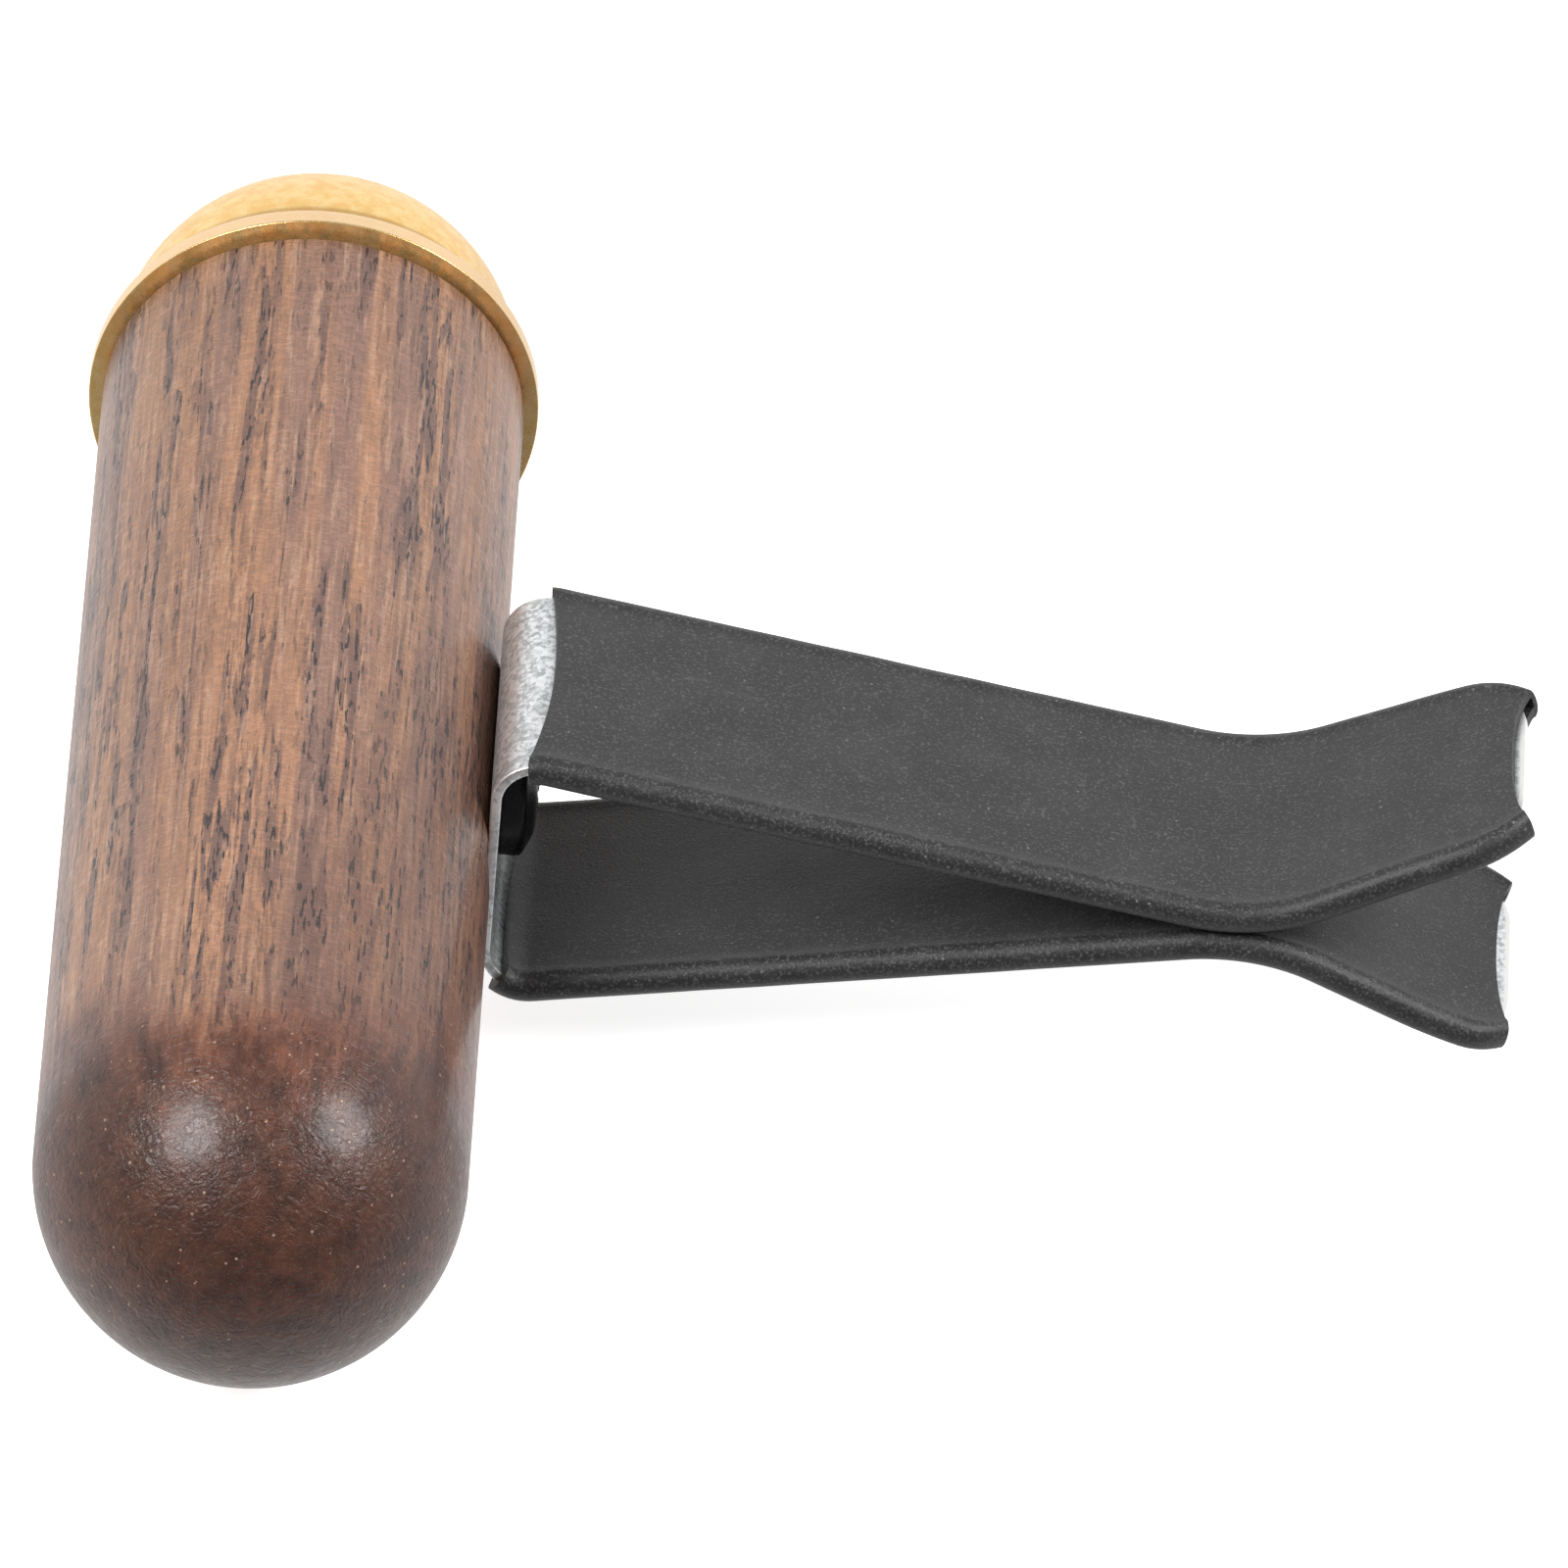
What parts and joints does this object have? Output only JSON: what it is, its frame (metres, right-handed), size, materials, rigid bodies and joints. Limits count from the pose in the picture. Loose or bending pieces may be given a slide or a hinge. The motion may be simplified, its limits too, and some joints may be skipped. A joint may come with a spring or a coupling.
{
  "type": "car vent aroma diffuser",
  "caption": "Round-nosed wooden barrel with a domed screw cap, held across a spring clip whose sleeved jaws pinch a car's vent slat.",
  "frame": {"origin": "middle of the line where the two closed jaws meet, level with the middle of the clip", "axes": "+X out of the jaws' mouth into the vent, +Y along the barrel towards the cap, +Z towards the upper jaw"},
  "size_m": [0.0613, 0.073, 0.0192],
  "materials": {
    "walnut": "oiled satin, long dark grain streaks and short pores",
    "gold": "satin gold anodised",
    "seal_rubber": "matte",
    "insert_brass": "machined",
    "felt": "pressed wool felt",
    "spring_steel": "galvanised, mottled spangle",
    "sleeve_plastic": "soft matte, finely speckled",
    "black_screw": "gloss black"
  },
  "bodies": {
    "barrel": {"wood_body": "walnut", "thread_insert": "insert_brass", "scent_core": "felt", "clip_base": "spring_steel", "clip_screw": "black_screw"},
    "upper_arm": {"upper_jaw": "spring_steel", "upper_sleeve": "sleeve_plastic"},
    "lower_arm": {"lower_jaw": "spring_steel", "lower_sleeve": "sleeve_plastic"},
    "seal": {"seal_ring": "seal_rubber"},
    "cap": {"cap": "gold"}
  },
  "joints": [
    {"name": "upper_arm_open", "type": "hinge", "parent": "barrel", "child": "upper_arm", "pos_m": [-0.02899, 0, 0.0039], "axis": [0, -1, 0], "range_deg": [0, 6]},
    {"name": "lower_arm_open", "type": "hinge", "parent": "barrel", "child": "lower_arm", "pos_m": [-0.02899, 0, -0.0039], "axis": [0, 1, 0], "range_deg": [0, 6]},
    {"name": "cap_lift", "type": "slide", "parent": "barrel", "child": "seal", "axis": [0, 1, 0], "range_m": [0, 0.0061]},
    {"name": "cap_turn", "type": "hinge", "parent": "seal", "child": "cap", "pos_m": [-0.03974, 0.026, 0], "axis": [0, 1, 0], "range_deg": [0, 2160]}
  ],
  "couplings": [
    {"joint": "lower_arm_open", "follows": "upper_arm_open", "ratio": 1},
    {"joint": "cap_lift", "follows": "cap_turn", "m_per_rad": 0.00015915}
  ]
}
